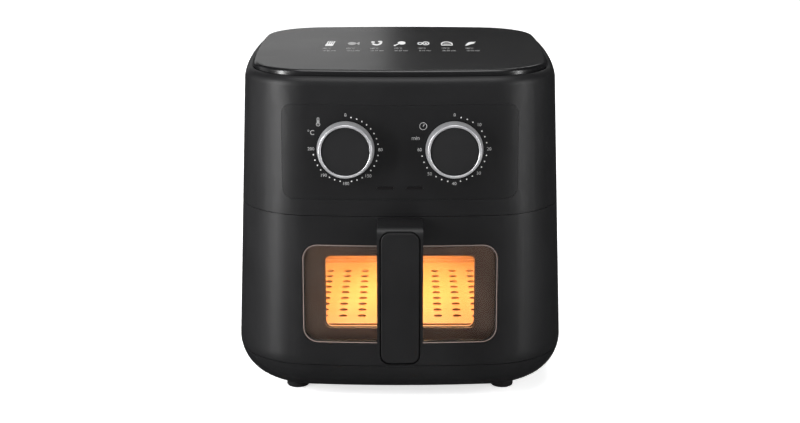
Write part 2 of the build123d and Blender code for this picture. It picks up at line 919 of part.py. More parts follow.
seal_outer = front_patch(window_w + 8, window_h + 8, window_r + 4, window_z, inner_form, seal_form)
with BuildPart() as glass_seal:
    add(seal_outer)
    with BuildSketch(facing(-120)):
        with Locations((0, window_z)):
            RectangleRounded(window_w - 5, window_h - 5, window_r - 2.5)
    extrude(amount=40, mode=Mode.SUBTRACT)
write(glass_seal, "glass_seal")

with BuildPart() as inner_glass:
    with BuildSketch(facing(frame_back + 4)):
        with Locations((0, view_z)):
            RectangleRounded(view_w + 10, view_h + 10, 8)
    extrude(amount=4)
write(inner_glass, "inner_glass")

pot_back = pot_front + pot_d
with BuildPart() as pot_hollow:
    with BuildSketch(level(pot_low + pot_wall)):
        with Locations((0, pot_front + pot_d / 2)):
            RectangleRounded(pot_w - 2 * pot_wall, pot_d - 2 * pot_wall, pot_r - pot_wall)
    extrude(amount=pot_high - pot_low)
    fillet(pot_hollow.faces().sort_by(Axis.Z)[0].edges(), 6 - pot_wall)

with BuildPart() as cooking_pot:
    with BuildSketch(level(pot_low)):
        with Locations((0, pot_front + pot_d / 2)):
            RectangleRounded(pot_w, pot_d, pot_r)
    extrude(amount=pot_high - pot_low)
    fillet(cooking_pot.faces().sort_by(Axis.Z)[0].edges(), 6)
    with BuildSketch(level(pot_high - 1.6)):
        with Locations((0, pot_front + flange_d / 2)):
            RectangleRounded(flange_w, flange_d, pot_r + 4)
    extrude(amount=1.6)
    add(pot_hollow.part, mode=Mode.SUBTRACT)
    # window in the front wall, and the screw holes beside it
    with BuildSketch(facing(-90)):
        with Locations((0, inner_view_z)):
            RectangleRounded(view_w, inner_view_h, view_r)
        with Locations(*pot_screw_spots):
            Circle(1.8)
    extrude(amount=40, mode=Mode.SUBTRACT)
write(cooking_pot, "cooking_pot")

with BuildPart() as pot_screws:
    with BuildSketch(facing(pot_front + pot_wall)):
        with Locations(*pot_screw_spots):
            Circle(1.75)
    extrude(amount=9)
    with BuildSketch(facing(pot_front + pot_wall + 2)):
        with Locations(*pot_screw_spots):
            Circle(3.2)
    extrude(amount=2)
write(pot_screws, "pot_screws")

# ---------------------------------------------------------------- handle
grip_back = -handle_reach + grip_t
with BuildPart() as handle_body:
    with BuildSketch(Plane(origin=(0, body_y, 0), x_dir=(0, 1, 0), z_dir=(1, 0, 0))) as side:
        with BuildLine():
            Polyline(
                (-140, arm_low), (grip_back, arm_low), (grip_back, handle_low), (-handle_reach, handle_low),
                (-handle_reach, handle_high), (-140, arm_root_high), close=True,
            )
        make_face()
        corners = side.vertices().group_by(Axis.X)
        fillet(corners[0].sort_by(Axis.Y)[-1], 9)
        fillet(side.vertices().filter_by(lambda v: abs(v.X - grip_back) < 0.1 and v.Y > 100), 9)
        fillet(side.vertices().filter_by(lambda v: v.Y < handle_low + 0.1), 5)
    extrude(amount=handle_w / 2, both=True)
    # seen from the front the grip's lower corners are round, and its upper ones slightly
    with BuildSketch(facing(0)) as front_view:
        with Locations((0, (handle_low + handle_high) / 2)):
            Rectangle(handle_w, handle_high - handle_low)
        fillet(front_view.vertices().group_by(Axis.Y)[0], grip_corner_r)
        fillet(front_view.vertices().group_by(Axis.Y)[-1], 3)
    extrude(amount=handle_reach, mode=Mode.INTERSECT)
    add(outer_form, mode=Mode.SUBTRACT)
    # recess for the cover in the front of the grip
    with BuildSketch(facing(-handle_reach + 3)):
        with Locations((0, (handle_low + handle_high) / 2)):
            RectangleRounded(handle_w - 4.4, handle_high - handle_low - 6, 9)
    extrude(amount=10, mode=Mode.SUBTRACT)
    with BuildSketch(facing(-136)):
        with Locations((-handle_screw_x, handle_screw_z), (handle_screw_x, handle_screw_z)):
            Circle(1.95)
    extrude(amount=25, mode=Mode.SUBTRACT)
write(handle_body, "handle_body")

with BuildPart() as handle_cover:
    with BuildSketch(facing(-handle_reach + 3)):
        with Locations((0, (handle_low + handle_high) / 2)):
            RectangleRounded(handle_w - 7, handle_high - handle_low - 8.6, 7.7)
    extrude(amount=3)
    fillet(handle_cover.faces().sort_by(Axis.Y)[0].edges(), 0.8)
write(handle_cover, "handle_cover")

with BuildPart() as handle_screws:
    with BuildSketch(facing(-136)):
        with Locations((-handle_screw_x, handle_screw_z), (handle_screw_x, handle_screw_z)):
            Circle(1.9)
    extrude(amount=24)
    with BuildSketch(facing(-136)):
        with Locations((-handle_screw_x, handle_screw_z), (handle_screw_x, handle_screw_z)):
            Circle(3.6)
    extrude(amount=2.2)
write(handle_screws, "handle_screws")

# ---------------------------------------------------------------- crisper plate
pot_middle = pot_front + pot_d / 2
with BuildPart() as crisper_plate:
    with BuildSketch(level(plate_z)):
        with Locations((0, pot_middle)):
            RectangleRounded(plate_w, plate_d, 24)
    extrude(amount=plate_t + 3)
    with BuildSketch(level(plate_z + plate_t)):
        with Locations((0, pot_middle)):
            RectangleRounded(plate_w - 3, plate_d - 3, 22.5)
    extrude(amount=5, mode=Mode.SUBTRACT)
    with BuildSketch(level(plate_z - 1)):
        with Locations((0, pot_middle)):
            with GridLocations(18, 18, 9, 9):
                Circle(4)
    extrude(amount=5, mode=Mode.SUBTRACT)
write(crisper_plate, "crisper_plate")

with BuildPart() as crisper_bumpers:
    with BuildSketch(level(pot_low + pot_wall + 0.4)):
        with Locations((0, pot_middle)):
            with GridLocations(150, 150, 2, 2):
                RectangleRounded(16, 16, 4)
    extrude(amount=plate_z - pot_low - pot_wall - 0.4)
write(crisper_bumpers, "crisper_bumpers")
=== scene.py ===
import json
import math

import bmesh
import bpy
from bpy.props import FloatProperty, FloatVectorProperty, PointerProperty
from mathutils import Matrix, Vector
from mathutils.bvhtree import BVHTree

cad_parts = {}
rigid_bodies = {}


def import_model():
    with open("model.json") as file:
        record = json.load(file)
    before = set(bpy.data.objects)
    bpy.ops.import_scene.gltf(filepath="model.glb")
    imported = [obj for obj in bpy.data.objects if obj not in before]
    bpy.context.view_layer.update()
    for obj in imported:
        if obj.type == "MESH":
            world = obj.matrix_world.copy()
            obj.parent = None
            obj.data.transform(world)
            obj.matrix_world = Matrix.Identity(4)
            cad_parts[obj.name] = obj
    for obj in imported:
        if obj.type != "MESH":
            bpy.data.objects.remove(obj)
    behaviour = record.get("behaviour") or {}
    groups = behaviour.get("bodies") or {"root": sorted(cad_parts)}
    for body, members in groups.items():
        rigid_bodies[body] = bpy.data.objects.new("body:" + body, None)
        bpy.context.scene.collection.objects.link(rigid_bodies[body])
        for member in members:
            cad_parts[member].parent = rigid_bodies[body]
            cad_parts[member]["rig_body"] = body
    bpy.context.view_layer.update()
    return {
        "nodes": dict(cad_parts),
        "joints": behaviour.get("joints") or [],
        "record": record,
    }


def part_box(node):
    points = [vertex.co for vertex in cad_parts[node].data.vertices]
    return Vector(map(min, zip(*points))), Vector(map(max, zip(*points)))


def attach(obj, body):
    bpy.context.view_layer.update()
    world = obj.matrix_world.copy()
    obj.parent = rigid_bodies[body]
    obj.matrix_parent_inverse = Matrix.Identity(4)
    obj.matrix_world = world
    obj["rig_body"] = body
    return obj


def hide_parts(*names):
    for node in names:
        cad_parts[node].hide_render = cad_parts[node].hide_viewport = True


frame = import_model()

bl_info = {
    "name": "Air fryer",
    "version": (1, 0, 0),
    "blender": (4, 5, 0),
    "location": "View3D > Sidebar > Air fryer",
    "description": "Finishes, markings and studio for a basket air fryer built around its packed frame",
    "category": "Object",
}

MM = 0.001
NODES = frame["nodes"]
JOINTS = {joint["name"]: joint for joint in frame["joints"]}


# ------------------------------------------------------------------ places read from the frame
def middle(node):
    """The middle of a frame node's box."""
    low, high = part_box(node)
    return (low + high) / 2


def surface_of(*names):
    """A search tree over the triangles of some frame nodes."""
    points, faces = [], []
    for name in names:
        mesh = NODES[name].data
        start = len(points)
        points += [v.co.copy() for v in mesh.vertices]
        faces += [[start + i for i in p.vertices] for p in mesh.polygons]
    return BVHTree.FromPolygons(points, faces)


BODY_MIDDLE_Y = middle("top_panel").y
AWAY = Vector((0, 1, 0))     # from the viewer into the front of the appliance


# ------------------------------------------------------------------ colour and node helpers
def linear(text, alpha=1.0):
    """An sRGB hex colour as Blender's linear RGBA."""
    channels = [int(text[i:i + 2], 16) / 255 for i in (1, 3, 5)]
    out = [c / 12.92 if c <= 0.04045 else ((c + 0.055) / 1.055) ** 2.4 for c in channels]
    return (*out, alpha)


def node(tree, kind, links=None, **settings):
    """Add one node: settings are attributes or input values, links are input name to output socket."""
    made = tree.nodes.new(kind)
    for key, value in settings.items():
        if hasattr(made, key):
            setattr(made, key, value)
    for key, value in settings.items():
        name = key.replace("_", " ")
        if not hasattr(made, key) and name in made.inputs:
            made.inputs[name].default_value = value
    for key, source in (links or {}).items():
        tree.links.new(source, made.inputs[key])
    return made


def start_material(name, **values):
    """A new material: its tree, its Principled shader and the object coordinates."""
    material = bpy.data.materials.new(name)
    material.use_nodes = True
    tree = material.node_tree
    tree.nodes.clear()
    shader = tree.nodes.new("ShaderNodeBsdfPrincipled")
    output = tree.nodes.new("ShaderNodeOutputMaterial")
    tree.links.new(shader.outputs["BSDF"], output.inputs["Surface"])
    for key, value in values.items():
        shader.inputs[key.replace("_", " ")].default_value = value
    place = tree.nodes.new("ShaderNodeTexCoord").outputs["Object"]
    return material, tree, shader, place


def ramp(tree, source, low, high, from_min=0.0, from_max=1.0):
    """Map a value onto a narrow range."""
    made = node(tree, "ShaderNodeMapRange", {"Value": source})
    made.inputs["From Min"].default_value = from_min
    made.inputs["From Max"].default_value = from_max
    made.inputs["To Min"].default_value = low
    made.inputs["To Max"].default_value = high
    return made.outputs["Result"]


def bump(tree, shader, source, depth_mm, strength=1.0):
    """Relief of a real depth in millimetres."""
    made = node(tree, "ShaderNodeBump", {"Height": source}, Strength=strength)
    made.inputs["Distance"].default_value = depth_mm * MM
    tree.links.new(made.outputs["Normal"], shader.inputs["Normal"])
    return made


def tone(tree, shader, source, dark, light, from_min=0.35, from_max=0.65):
    """Vary the base colour between two close tones."""
    mix = tree.nodes.new("ShaderNodeMix")
    mix.data_type = "RGBA"
    mix.inputs["A"].default_value = linear(dark)
    mix.inputs["B"].default_value = linear(light)
    tree.links.new(ramp(tree, source, 0.0, 1.0, from_min, from_max), mix.inputs["Factor"])
    tree.links.new(mix.outputs["Result"], shader.inputs["Base Color"])


# ------------------------------------------------------------------ materials
def moulded_plastic(name, dark, light, roughness, grain_mm, depth_mm, specular):
    """A moulded piece: the tool's fine spark-eroded grain breaks up its gloss."""
    material, tree, shader, place = start_material(
        name, Roughness=roughness, IOR=1.5, Specular_IOR_Level=specular)
    grain = node(tree, "ShaderNodeTexNoise", {"Vector": place}, Scale=1 / (grain_mm * MM), Detail=3.0)
    cloud = node(tree, "ShaderNodeTexNoise", {"Vector": place}, Scale=1 / (45 * MM), Detail=2.0)
    tone(tree, shader, cloud.outputs["Fac"], dark, light)
    tree.links.new(ramp(tree, grain.outputs["Fac"], roughness - 0.05, roughness + 0.06, 0.3, 0.7),
                   shader.inputs["Roughness"])
    bump(tree, shader, grain.outputs["Fac"], depth_mm, 0.6)
    return material


def smooth_plastic(name, dark, light, roughness, specular):
    """Plastic from a polished tool or under lacquer: no grain, and its gloss and depth vary a little."""
    material, tree, shader, place = start_material(
        name, Roughness=roughness, IOR=1.5, Specular_IOR_Level=specular)
    cloud = node(tree, "ShaderNodeTexNoise", {"Vector": place}, Scale=1 / (60 * MM), Detail=1.0)
    tone(tree, shader, cloud.outputs["Fac"], dark, light)
    tree.links.new(ramp(tree, cloud.outputs["Fac"], roughness - 0.01, roughness + 0.01, 0.3, 0.7),
                   shader.inputs["Roughness"])
    return material


def silver_lacquer(name, colour, shade, roughness):
    """Silver lacquer: its metal flake, too fine to see, is drawn at 0.5 mm so that it shows."""
    material, tree, shader, place = start_material(name, Metallic=0.8, Roughness=roughness)
    flake = node(tree, "ShaderNodeTexNoise", {"Vector": place}, Scale=1 / (0.5 * MM), Detail=2.0)
    tone(tree, shader, flake.outputs["Fac"], shade, colour)
    tree.links.new(ramp(tree, flake.outputs["Fac"], roughness - 0.05, roughness + 0.07),
                   shader.inputs["Roughness"])
    bump(tree, shader, flake.outputs["Fac"], 0.01, 0.4)
    return material


def rolled_sheet(name, dark, light, roughness, metallic=1.0, along=(1, 1, 12)):
    """Cold-rolled sheet: long faint streaks from the mill's rolls."""
    material, tree, shader, place = start_material(name, Metallic=metallic, Roughness=roughness)
    stretch = node(tree, "ShaderNodeMapping", {"Vector": place})
    stretch.inputs["Scale"].default_value = along
    streak = node(tree, "ShaderNodeTexNoise", {"Vector": stretch.outputs["Vector"]},
                  Scale=1 / (8 * MM), Detail=5.0)
    tone(tree, shader, streak.outputs["Fac"], dark, light)
    tree.links.new(ramp(tree, streak.outputs["Fac"], roughness - 0.08, roughness + 0.1),
                   shader.inputs["Roughness"])
    bump(tree, shader, streak.outputs["Fac"], 0.02, 0.3)
    return material


def coated_pot(name, dark, light):
    """Sprayed non-stick coating: satin, with a fine speckle of mineral filler."""
    material, tree, shader, place = start_material(name, Roughness=0.38, IOR=1.45)
    speck = node(tree, "ShaderNodeTexVoronoi", {"Vector": place}, Scale=1 / (1.6 * MM))
    tone(tree, shader, speck.outputs["Distance"], light, dark, 0.1, 0.35)
    skin = node(tree, "ShaderNodeTexNoise", {"Vector": place}, Scale=1 / (0.9 * MM), Detail=3.0)
    tree.links.new(ramp(tree, skin.outputs["Fac"], 0.3, 0.46), shader.inputs["Roughness"])
    bump(tree, shader, skin.outputs["Fac"], 0.03, 0.5)
    return material


def clear_glass(name, colour):
    """Coated heat-resistant glass with a faint warm tint; the coating cuts its reflections down."""
    material, tree, shader, place = start_material(
        name, Roughness=0.0, IOR=1.5, Transmission_Weight=1.0, Specular_Tint=linear("#807c78"))
    smear = node(tree, "ShaderNodeTexNoise", {"Vector": place}, Scale=1 / (30 * MM), Detail=2.0)
    tone(tree, shader, smear.outputs["Fac"], colour, "#fffaf4")
    return material


def glowing_lamp(name):
    """A frosted halogen capsule, lit."""
    material, tree, shader, place = start_material(
        name, Roughness=0.4, Emission_Strength=30.0, Emission_Color=linear("#ffb04a"))
    frost = node(tree, "ShaderNodeTexNoise", {"Vector": place}, Scale=1 / (1.0 * MM))
    tone(tree, shader, frost.outputs["Fac"], "#f4d9ae", "#fff3dc")
    bump(tree, shader, frost.outputs["Fac"], 0.02, 0.4)
    return material


def ink_and_highlight_paint(name, colour, thin):
    """Pad-printed ink, and the pale paint of the painted highlight on the window glass's edge: flat and
    slightly uneven in cover.
    """
    material, tree, shader, place = start_material(name, Roughness=0.6, IOR=1.45)
    cover = node(tree, "ShaderNodeTexNoise", {"Vector": place}, Scale=1 / (0.6 * MM), Detail=2.0)
    tone(tree, shader, cover.outputs["Fac"], thin, colour)
    return material


def laminated_core(name):
    """Stacked steel laminations, 0.5 mm each on the real core, drawn at 1.5 mm so that they show."""
    material, tree, shader, place = start_material(name, Metallic=0.8, Roughness=0.5)
    wave = node(tree, "ShaderNodeTexWave", {"Vector": place}, Scale=1 / (1.5 * MM) / 20 * math.pi,
                bands_direction="Z")
    tone(tree, shader, wave.outputs["Fac"], "#34363a", "#5b5e63")
    bump(tree, shader, wave.outputs["Fac"], 0.15, 0.6)
    return material


def all_finishes():
    """Every finish, by the record's slot."""
    return {
        # matt ABS: nearly black, broad soft reflections
        "housing_black": moulded_plastic("matt_abs_casing", "#121213", "#151516", 0.46, 0.7, 0.020, 0.20),
        # the panel's tool was polished further than the casing's
        "panel_black": moulded_plastic("satin_abs_panel", "#111112", "#141415", 0.44, 0.5, 0.015, 0.20),
        # the rear cover and the grille, from a tool of the same grain
        "cover_black": moulded_plastic("satin_abs_cover", "#111112", "#151516", 0.46, 0.5, 0.018, 0.22),
        # lacquered lid: its edge shows clear reflections
        "top_gloss": smooth_plastic("lacquered_abs_lid", "#0e0e0f", "#101011", 0.26, 0.3),
        # PBT keeps its satin face under fingers: a little lighter and smoother than the panel
        "knob_face": moulded_plastic("satin_pbt_knob", "#161617", "#1a1a1b", 0.42, 0.5, 0.015, 0.25),
        # silver lacquer over a moulded sleeve: bright all round, and less of a mirror than bare metal
        "ring_metal": silver_lacquer("silver_lacquered_ring", "#d2d2d4", "#bcbcbf", 0.38),
        # bright zinc plating on screws and shafts, clouded by the bath
        "steel": rolled_sheet("zinc_plated_steel", "#8d8f92", "#b4b6b8", 0.34, along=(4, 4, 4)),
        # smoked acrylic hides the unlit lamps behind it
        "lens_smoke": smooth_plastic("smoked_acrylic_lens", "#0b0a0a", "#0e0c0d", 0.50, 0.16),
        "lamp_red": smooth_plastic("red_polycarbonate", "#6d150c", "#7d1c10", 0.25, 0.5),
        # rolled sheets: aluminised chamber, heater sheath browned by heat, stamped fan
        "sheet_steel": rolled_sheet("aluminised_sheet", "#73716d", "#98958f", 0.36),
        "heater_steel": rolled_sheet("oxidised_heater_sheath", "#2b2624", "#463c36", 0.55, 0.5, (3, 3, 3)),
        "fan_aluminium": rolled_sheet("stamped_aluminium_fan", "#a8a9ab", "#c8c9cb", 0.33, along=(3, 3, 3)),
        # glass fibre leaves nylon with a rough, greyish skin
        "inner_plastic": moulded_plastic("glass_filled_nylon", "#19191a", "#232324", 0.55, 1.2, 0.04, 0.4),
        # stacked laminations show as fine lines round the motor
        "motor_iron": laminated_core("laminated_motor_core"),
        # the lit capsule glows through its frosting, in a holder of dull pale ceramic
        "lamp_glass": glowing_lamp("lit_halogen_capsule"),
        "lamp_ceramic": moulded_plastic("steatite_lamp_holder", "#c9c3b6", "#d8d3c8", 0.65, 1.0, 0.03, 0.4),
        # a drawn can: smooth and pale
        "fuse_metal": rolled_sheet("drawn_aluminium_fuse", "#9b9c9e", "#b9babc", 0.3, along=(3, 3, 3)),
        # rubber and silicone: dull, without a sharp highlight
        "foot_rubber": moulded_plastic("moulded_rubber_foot", "#121212", "#161616", 0.75, 1.5, 0.05, 0.12),
        "bumper_silicone": moulded_plastic("silicone_bumper", "#1c1c1d", "#232324", 0.6, 2.0, 0.02, 0.4),
        # the tray behind the glass is moulded in a brown heat-resistant plastic
        "window_tint": smooth_plastic("brown_pps_window_frame", "#3f2d26", "#48362d", 0.40, 0.2),
        # the glass shows by its edge, where a highlight is painted on, and by a faint warm tint
        "window_glass": clear_glass("borosilicate_glass", "#f7efe6"),
        # bronze non-stick coating turns the lamp's light orange
        "nonstick": coated_pot("bronze_nonstick_coating", "#80613a", "#987849"),
    }


FINISHES = {}


def finish_of(slot_name):
    """The finish of a record slot, made once."""
    if not FINISHES:
        FINISHES.update(all_finishes())
    return FINISHES[slot_name]


SLOT_OF = {part["node"]: part["material_slot"] for part in frame["record"]["subparts"]}


# ------------------------------------------------------------------ mesh helpers
def dress(piece, body):
    """Give a new piece its body."""
    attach(piece, body)


def new_piece(name, mesh, material):
    """Link a mesh as an object at the origin, with one material."""
    piece = bpy.data.objects.new(name, mesh)
    bpy.context.scene.collection.objects.link(piece)
    mesh.materials.clear()
    mesh.materials.append(material)
    return piece


def settle(piece):
    """Turn a piece's modifiers into plain mesh."""
    depsgraph = bpy.context.evaluated_depsgraph_get()
    mesh = bpy.data.meshes.new_from_object(piece.evaluated_get(depsgraph))
    piece.modifiers.clear()
    old = piece.data
    piece.data = mesh
    bpy.data.meshes.remove(old)
    return piece


def joined_copy(source):
    """A frame node's mesh with its loose triangles joined."""
    model = bmesh.new()
    model.from_mesh(NODES[source].data)
    bmesh.ops.remove_doubles(model, verts=model.verts, dist=0.002 * MM)
    return model


def islands(source):
    """The points of each separate solid of a frame node."""
    model = joined_copy(source)
    groups, seen = [], set()
    for start in model.verts:
        if start in seen:
            continue
        group, front = [], [start]
        seen.add(start)
        while front:
            vertex = front.pop()
            group.append(vertex.co.copy())
            for edge in vertex.link_edges:
                other = edge.other_vert(vertex)
                if other not in seen:
                    seen.add(other)
                    front.append(other)
        groups.append(group)
    model.free()
    return groups


def softened(name, source, width_mm, angle=32.0):
    """A copy of a frame node that stands for it: its triangles joined and its sharp edges rounded."""
    model = joined_copy(source)
    bmesh.ops.dissolve_limit(model, angle_limit=math.radians(0.2), verts=model.verts, edges=model.edges)
    mesh = bpy.data.meshes.new(name)
    model.to_mesh(mesh)
    model.free()
    piece = new_piece(name, mesh, finish_of(SLOT_OF[source]))
    edge = piece.modifiers.new("rounded_edges", "BEVEL")
    edge.width = width_mm * MM
    edge.segments = 2
    edge.limit_method = "ANGLE"
    edge.angle_limit = math.radians(angle)
    settle(piece)
    piece.data.shade_smooth()
    even = piece.modifiers.new("even_shading", "WEIGHTED_NORMAL")
    even.keep_sharp = True
    settle(piece)
    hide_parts(source)
    dress(piece, NODES[source]["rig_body"])
    return piece


# ------------------------------------------------------------------ markings on the surface
INK = 0.03               # half the printed film's thickness, in millimetres
CAP_TO_SIZE = 1.4        # a type size for each height of its capitals


def drape(mesh, place, search, lift, way):
    """Lay a flat drawing onto a surface: it is drawn in millimetres, with the ink's thickness in Z.

    place turns a drawn X and Y into a point outside the surface, from which it drops along way."""
    for vertex in mesh.vertices:
        drawn = vertex.co.copy()
        hit = search.ray_cast(place(drawn.x, drawn.y), way)[0]
        if hit is None:
            raise RuntimeError("a marking misses the surface that it is printed on")
        vertex.co = hit - way * (lift + drawn.z) * MM
    mesh.update()


def letters(text, height, x, y):
    """Generic figures and units as a thin flat mesh."""
    curve = bpy.data.curves.new("figures", "FONT")
    curve.body = text
    curve.align_x = "CENTER"
    curve.align_y = "CENTER"
    curve.size = height * CAP_TO_SIZE
    curve.extrude = INK
    curve.resolution_u = 4
    holder = bpy.data.objects.new("figures", curve)
    bpy.context.scene.collection.objects.link(holder)
    mesh = bpy.data.meshes.new_from_object(holder.evaluated_get(bpy.context.evaluated_depsgraph_get()))
    bpy.data.objects.remove(holder)
    mesh.transform(Matrix.Translation((x, y, 0)))
    return mesh


def stroke(points, width, closed=False):
    """A line of ink along points."""
    model = bmesh.new()
    count = len(points)
    rows = []
    for i, point in enumerate(points):
        before = points[i - 1] if i or closed else point
        after = points[(i + 1) % count] if i < count - 1 or closed else point
        run = Vector((after[0] - before[0], after[1] - before[1]))
        side = Vector((-run.y, run.x)).normalized() * width / 2
        rows.append([model.verts.new((point[0] + s * side.x, point[1] + s * side.y, z))
                     for s, z in ((1, -INK), (1, INK), (-1, INK), (-1, -INK))])
    for i in range(count if closed else count - 1):
        a, b = rows[i], rows[(i + 1) % count]
        for k in range(4):
            model.faces.new((a[k], a[(k + 1) % 4], b[(k + 1) % 4], b[k]))
    if not closed:
        model.faces.new(rows[0])
        model.faces.new(rows[-1][::-1])
    mesh = bpy.data.meshes.new("stroke")
    model.to_mesh(mesh)
    model.free()
    return mesh


def blot(points):
    """A filled outline of ink."""
    model = bmesh.new()
    lower = [model.verts.new((x, y, -INK)) for x, y in points]
    upper = [model.verts.new((x, y, INK)) for x, y in points]
    model.faces.new(upper)
    model.faces.new(lower[::-1])
    for i in range(len(points)):
        j = (i + 1) % len(points)
        model.faces.new((lower[i], lower[j], upper[j], upper[i]))
    bmesh.ops.triangulate(model, faces=model.faces)
    mesh = bpy.data.meshes.new("blot")
    model.to_mesh(mesh)
    model.free()
    return mesh


def arc(x, y, radius, start=0.0, end=360.0, tall=1.0, steps=20):
    """Points on an arc, angles in degrees anticlockwise from +X, drawn tall times as high as wide."""
    turns = [math.radians(start + (end - start) * i / steps) for i in range(steps + 1)]
    points = [(x + radius * math.cos(t), y + tall * radius * math.sin(t)) for t in turns]
    return points[:-1] if end - start == 360 else points


def rounded_rectangle(width, height, radius):
    """Points round a rectangle with round corners, 8 steps to a corner and 12 to a side."""
    x, y = width / 2 - radius, height / 2 - radius
    corners = [arc(across, up, radius, start, start + 90, steps=8)
               for start, across, up in ((0, x, y), (90, -x, y), (180, -x, -y), (270, x, -y))]
    points = []
    for corner, following in zip(corners, corners[1:] + corners[:1]):
        here, there = Vector(corner[-1]), Vector(following[0])
        points += corner + [tuple(here.lerp(there, i / 12)) for i in range(1, 12)]
    return points


def gather(name, meshes, material):
    """Join several drawings into one piece, every face outwards."""
    model = bmesh.new()
    for mesh in meshes:
        model.from_mesh(mesh)
        bpy.data.meshes.remove(mesh)
    bmesh.ops.remove_doubles(model, verts=model.verts, dist=1e-4)
    bmesh.ops.recalc_face_normals(model, faces=model.faces)
    joined = bpy.data.meshes.new(name)
    model.to_mesh(joined)
    model.free()
    return new_piece(name, joined, material)


# ------------------------------------------------------------------ geometry node trees
def new_tree(name, inputs):
    """A Geometry Nodes group with named inputs; returns the tree and the group input's sockets."""
    tree = bpy.data.node_groups.new(name, "GeometryNodeTree")
    tree.interface.new_socket("Geometry", in_out="OUTPUT", socket_type="NodeSocketGeometry")
    tree.interface.new_socket("Geometry", in_out="INPUT", socket_type="NodeSocketGeometry")
    for label, kind in inputs.items():
        tree.interface.new_socket(label, in_out="INPUT", socket_type=f"NodeSocket{kind}")
    return tree, tree.nodes.new("NodeGroupInput").outputs


def finish_tree(tree, instances, material_socket):
    """End a tree in Realize Instances and Set Material."""
    real = node(tree, "GeometryNodeRealizeInstances", {"Geometry": instances})
    painted = node(tree, "GeometryNodeSetMaterial", {"Geometry": real.outputs["Geometry"],
                                                      "Material": material_socket})
    output = tree.nodes.new("NodeGroupOutput")
    tree.links.new(painted.outputs["Geometry"], output.inputs[0])


def grow(name, tree, points, values):
    """Run a tree on a set of points and keep its result as a plain mesh."""
    mesh = bpy.data.meshes.new(name)
    mesh.from_pydata([tuple(point) for point in points], [], [])
    holder = bpy.data.objects.new(name, mesh)
    bpy.context.scene.collection.objects.link(holder)
    modifier = holder.modifiers.new("made_by_rule", "NODES")
    modifier.node_group = tree
    sockets = {item.name: item.identifier for item in tree.interface.items_tree if item.in_out == "INPUT"}
    for label, value in values.items():
        modifier[sockets[label]] = value
    return settle(holder)


def math_node(tree, operation, a, b):
    """One sum of two sockets or numbers."""
    made = node(tree, "ShaderNodeMath", operation=operation)
    for i, value in enumerate((a, b)):
        if isinstance(value, (int, float)):
            made.inputs[i].default_value = value
        else:
            tree.links.new(value, made.inputs[i])
    return made.outputs[0]


def dot_tree():
    """A round dot of ink on every point."""
    tree, given = new_tree("ink_dots", {"Dot radius": "Float", "Ink": "Float", "Material": "Material"})
    dot = node(tree, "GeometryNodeMeshCylinder", {"Radius": given["Dot radius"], "Depth": given["Ink"]})
    dot.inputs["Vertices"].default_value = 14
    placed = node(tree, "GeometryNodeInstanceOnPoints",
                  {"Points": given["Geometry"], "Instance": dot.outputs["Mesh"]})
    finish_tree(tree, placed.outputs["Instances"], given["Material"])
    return tree


def screw_tree():
    """A pan-head screw with a cross recess on every point, its head towards Axis."""
    tree, given = new_tree("cross_recess_screws", {
        "Head radius": "Float", "Head height": "Float", "Shank radius": "Float", "Length": "Float",
        "Recess width": "Float", "Axis": "Vector", "Material": "Material"})
    # the head narrows a little towards its face
    head = node(tree, "GeometryNodeMeshCone", {"Radius Bottom": given["Head radius"],
                                                "Depth": given["Head height"]})
    head.inputs["Vertices"].default_value = 28
    tree.links.new(math_node(tree, "MULTIPLY", given["Head radius"], 0.8), head.inputs["Radius Top"])
    arms = []
    long_side = math_node(tree, "MULTIPLY", given["Head radius"], 1.15)
    for turn in (0, 1):
        size = node(tree, "ShaderNodeCombineXYZ", {"Z": given["Head height"],
                                                    ("X", "Y")[turn]: long_side,
                                                    ("Y", "X")[turn]: given["Recess width"]})
        arm = node(tree, "GeometryNodeMeshCube", {"Size": size.outputs[0]})
        height = math_node(tree, "MULTIPLY", given["Head height"], 1.05)
        lift = node(tree, "ShaderNodeCombineXYZ", {"Z": height})
        arms.append(node(tree, "GeometryNodeTransform", {"Geometry": arm.outputs["Mesh"],
                                                         "Translation": lift.outputs[0]}).outputs[0])
    cut = head.outputs["Mesh"]
    for arm in arms:
        cutter = node(tree, "GeometryNodeMeshBoolean", operation="DIFFERENCE")
        tree.links.new(cut, cutter.inputs["Mesh 1"])
        tree.links.new(arm, cutter.inputs["Mesh 2"])
        cut = cutter.outputs["Mesh"]
    rod = node(tree, "GeometryNodeMeshCylinder", {"Radius": given["Shank radius"],
                                                  "Depth": given["Length"]})
    rod.inputs["Vertices"].default_value = 16
    down = node(tree, "ShaderNodeCombineXYZ", {"Z": math_node(tree, "MULTIPLY", given["Length"], -0.5)})
    shank = node(tree, "GeometryNodeTransform", {"Geometry": rod.outputs["Mesh"],
                                                 "Translation": down.outputs[0]})
    whole = node(tree, "GeometryNodeJoinGeometry")
    tree.links.new(cut, whole.inputs[0])
    tree.links.new(shank.outputs[0], whole.inputs[0])
    turned = node(tree, "FunctionNodeAlignRotationToVector", {"Vector": given["Axis"]}, axis="Z")
    placed = node(tree, "GeometryNodeInstanceOnPoints", {
        "Points": given["Geometry"], "Instance": whole.outputs[0], "Rotation": turned.outputs[0]})
    finish_tree(tree, placed.outputs["Instances"], given["Material"])
    return tree


# ------------------------------------------------------------------ studio
def aim(thing, target):
    """Turn a camera or light towards a point."""
    direction = Vector(target) - thing.location
    thing.rotation_euler = direction.to_track_quat("-Z", "Y").to_euler()


def softbox(name, place, target, size, watts):
    """One rectangular white studio light."""
    light = bpy.data.lights.new(name, "AREA")
    light.shape = "RECTANGLE"
    light.size, light.size_y = size
    light.energy = watts
    lamp = bpy.data.objects.new(name, light)
    bpy.context.scene.collection.objects.link(lamp)
    lamp.location = place
    aim(lamp, target)
    return lamp


